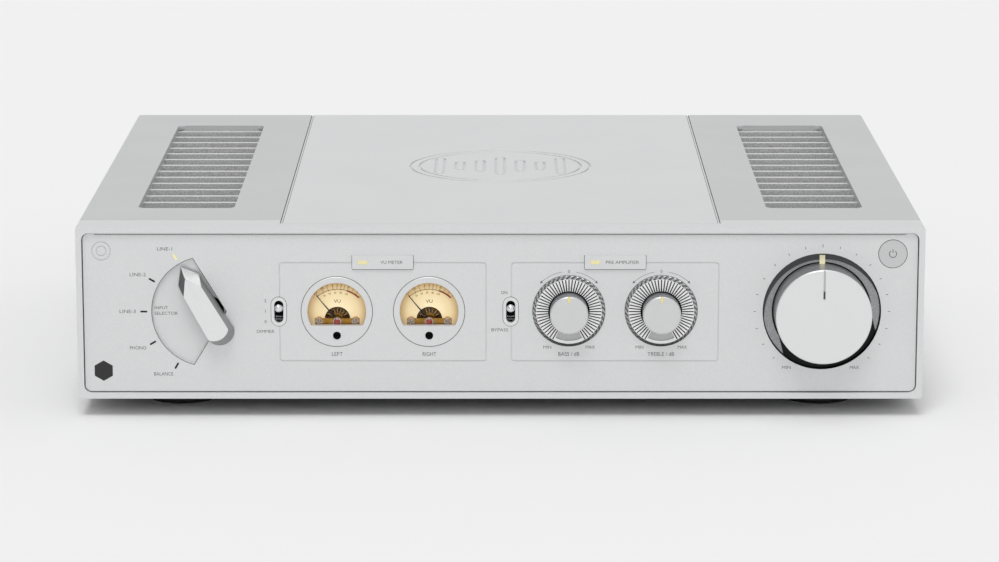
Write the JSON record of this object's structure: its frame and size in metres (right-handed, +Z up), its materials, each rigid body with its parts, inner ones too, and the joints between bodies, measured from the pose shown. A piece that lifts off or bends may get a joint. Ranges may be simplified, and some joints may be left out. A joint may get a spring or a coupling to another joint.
{
  "type": "integrated hi-fi amplifier",
  "caption": "Low full-width amplifier with turned control knobs, input selector, twin needle level meters, tone controls, vented top and rear terminals.",
  "frame": {"origin": "on the floor, under the middle of the whole object's box", "axes": "+X to the right as seen from the front, +Y from front to back, +Z up"},
  "size_m": [0.43, 0.384, 0.0989],
  "materials": {
    "panel_aluminium": "bead blasted, silver anodised",
    "turned_aluminium": "turned and fine blasted, silver anodised",
    "scale_aluminium": "blasted with dark radial marks",
    "dark_steel": "fine textured powder coat",
    "vent_metal": "satin grey paint",
    "black_anodised": "black anodised",
    "steel_bright": "bright zinc plated",
    "chrome": "polished chrome plate",
    "black_plastic": "moulded black plastic",
    "rubber": "moulded rubber",
    "dark_window": "smoked polycarbonate",
    "light_pipe": "frosted acrylic",
    "amber_lens": "frosted amber acrylic",
    "lens_glass": "clear flat window",
    "dial_card": "printed warm cream dial, lit from behind",
    "movement_brass": "stamped brass and dark coil",
    "gold_plate": "gold plated",
    "cap_plastic": "ribbed black caps",
    "board": "green solder mask",
    "capacitor_sleeve": "shrink sleeve",
    "transformer_wrap": "wound with clear yellow film"
  },
  "bodies": {
    "chassis": {"amplifier_board": "board", "binding_posts": "gold_plate", "board_standoffs": "steel_bright", "bottom_tray": "dark_steel", "capacitors": "capacitor_sleeve", "case_screws": "steel_bright", "feet": "black_plastic", "foot_pads": "rubber", "front_frame": "panel_aluminium", "front_panel": "panel_aluminium", "heat_sinks": "black_anodised", "ir_window": "dark_window", "label_plates": "panel_aluminium", "lamp_windows": "amber_lens", "left_vent_grille": "vent_metal", "left_wing": "panel_aluminium", "mains_inlet": "black_plastic", "meter_bezels": "turned_aluminium", "meter_dials": "dial_card", "meter_housings": "black_plastic", "meter_lenses": "lens_glass", "meter_movements": "movement_brass", "power_switch": "black_plastic", "power_transistors": "black_plastic", "preamp_board": "board", "rca_jacks": "gold_plate", "rear_panel": "dark_steel", "right_vent_grille": "vent_metal", "right_wing": "panel_aluminium", "selector_switch": "black_plastic", "selector_windows": "light_pipe", "sub_panel": "dark_steel", "toggle_bodies": "black_plastic", "toggle_escutcheons": "turned_aluminium", "tone_pots": "black_plastic", "tone_scale_rings": "scale_aluminium", "top_plate": "panel_aluminium", "top_rails": "panel_aluminium", "transformer": "transformer_wrap", "volume_pot": "black_plastic"},
    "volume": {"volume_knob": "turned_aluminium", "volume_light_pipe": "light_pipe", "volume_shaft": "steel_bright"},
    "bass": {"bass_knob": "turned_aluminium", "bass_shaft": "steel_bright"},
    "treble": {"treble_knob": "turned_aluminium", "treble_shaft": "steel_bright"},
    "selector": {"selector_knob": "turned_aluminium", "selector_shaft": "steel_bright"},
    "dimmer": {"dimmer_lever": "chrome"},
    "bypass": {"bypass_lever": "chrome"},
    "power": {"power_button": "turned_aluminium"},
    "left_pointer": {"left_needle": "black_plastic"},
    "right_pointer": {"right_needle": "black_plastic"},
    "left_zero": {"left_zero_screw": "black_plastic"},
    "right_zero": {"right_zero_screw": "black_plastic"},
    "cap_1": {"post_cap_1": "cap_plastic"},
    "cap_2": {"post_cap_2": "cap_plastic"},
    "cap_3": {"post_cap_3": "cap_plastic"},
    "cap_4": {"post_cap_4": "cap_plastic"}
  },
  "joints": [
    {"name": "volume_turn", "type": "hinge", "parent": "chassis", "child": "volume", "pos_m": [0.1634, -0.178, 0.055], "axis": [0, -1, 0], "range_deg": [-150, 150]},
    {"name": "bass_turn", "type": "hinge", "parent": "chassis", "child": "bass", "pos_m": [0.03485, -0.178, 0.0554], "axis": [0, -1, 0], "range_deg": [-150, 150]},
    {"name": "treble_turn", "type": "hinge", "parent": "chassis", "child": "treble", "pos_m": [0.08175, -0.178, 0.0554], "axis": [0, -1, 0], "range_deg": [-150, 150]},
    {"name": "selector_turn", "type": "hinge", "parent": "chassis", "child": "selector", "pos_m": [-0.1485, -0.178, 0.055], "axis": [0, -1, 0], "range_deg": [0, 120]},
    {"name": "dimmer_tilt", "type": "hinge", "parent": "chassis", "child": "dimmer", "pos_m": [-0.1125, -0.17, 0.055], "axis": [1, 0, 0], "range_deg": [0, 24]},
    {"name": "bypass_tilt", "type": "hinge", "parent": "chassis", "child": "bypass", "pos_m": [0.0053, -0.17, 0.055], "axis": [1, 0, 0], "range_deg": [0, 24]},
    {"name": "power_press", "type": "slide", "parent": "chassis", "child": "power", "axis": [0, 1, 0], "range_m": [0, 0.0025], "stiffness_N_per_m": 600, "springref_m": -0.0005},
    {"name": "left_pointer_swing", "type": "hinge", "parent": "chassis", "child": "left_pointer", "pos_m": [-0.08305, -0.172, 0.0492], "axis": [0, -1, 0], "range_deg": [-82, 0], "stiffness_Nm_per_rad": 0.00005},
    {"name": "right_pointer_swing", "type": "hinge", "parent": "chassis", "child": "right_pointer", "pos_m": [-0.03615, -0.172, 0.0492], "axis": [0, -1, 0], "range_deg": [-82, 0], "stiffness_Nm_per_rad": 0.00005},
    {"name": "left_zero_turn", "type": "hinge", "parent": "chassis", "child": "left_zero", "pos_m": [-0.08305, -0.178, 0.0426], "axis": [0, -1, 0], "range_deg": [-25, 25]},
    {"name": "right_zero_turn", "type": "hinge", "parent": "chassis", "child": "right_zero", "pos_m": [-0.03615, -0.178, 0.0426], "axis": [0, -1, 0], "range_deg": [-25, 25]},
    {"name": "cap_1_turn", "type": "hinge", "parent": "chassis", "child": "cap_1", "pos_m": [0.014, 0.18, 0.053], "axis": [0, 1, 0], "range_deg": [-360, 360]},
    {"name": "cap_2_turn", "type": "hinge", "parent": "chassis", "child": "cap_2", "pos_m": [0.04, 0.18, 0.053], "axis": [0, 1, 0], "range_deg": [-360, 360]},
    {"name": "cap_3_turn", "type": "hinge", "parent": "chassis", "child": "cap_3", "pos_m": [0.074, 0.18, 0.053], "axis": [0, 1, 0], "range_deg": [-360, 360]},
    {"name": "cap_4_turn", "type": "hinge", "parent": "chassis", "child": "cap_4", "pos_m": [0.1, 0.18, 0.053], "axis": [0, 1, 0], "range_deg": [-360, 360]}
  ]
}
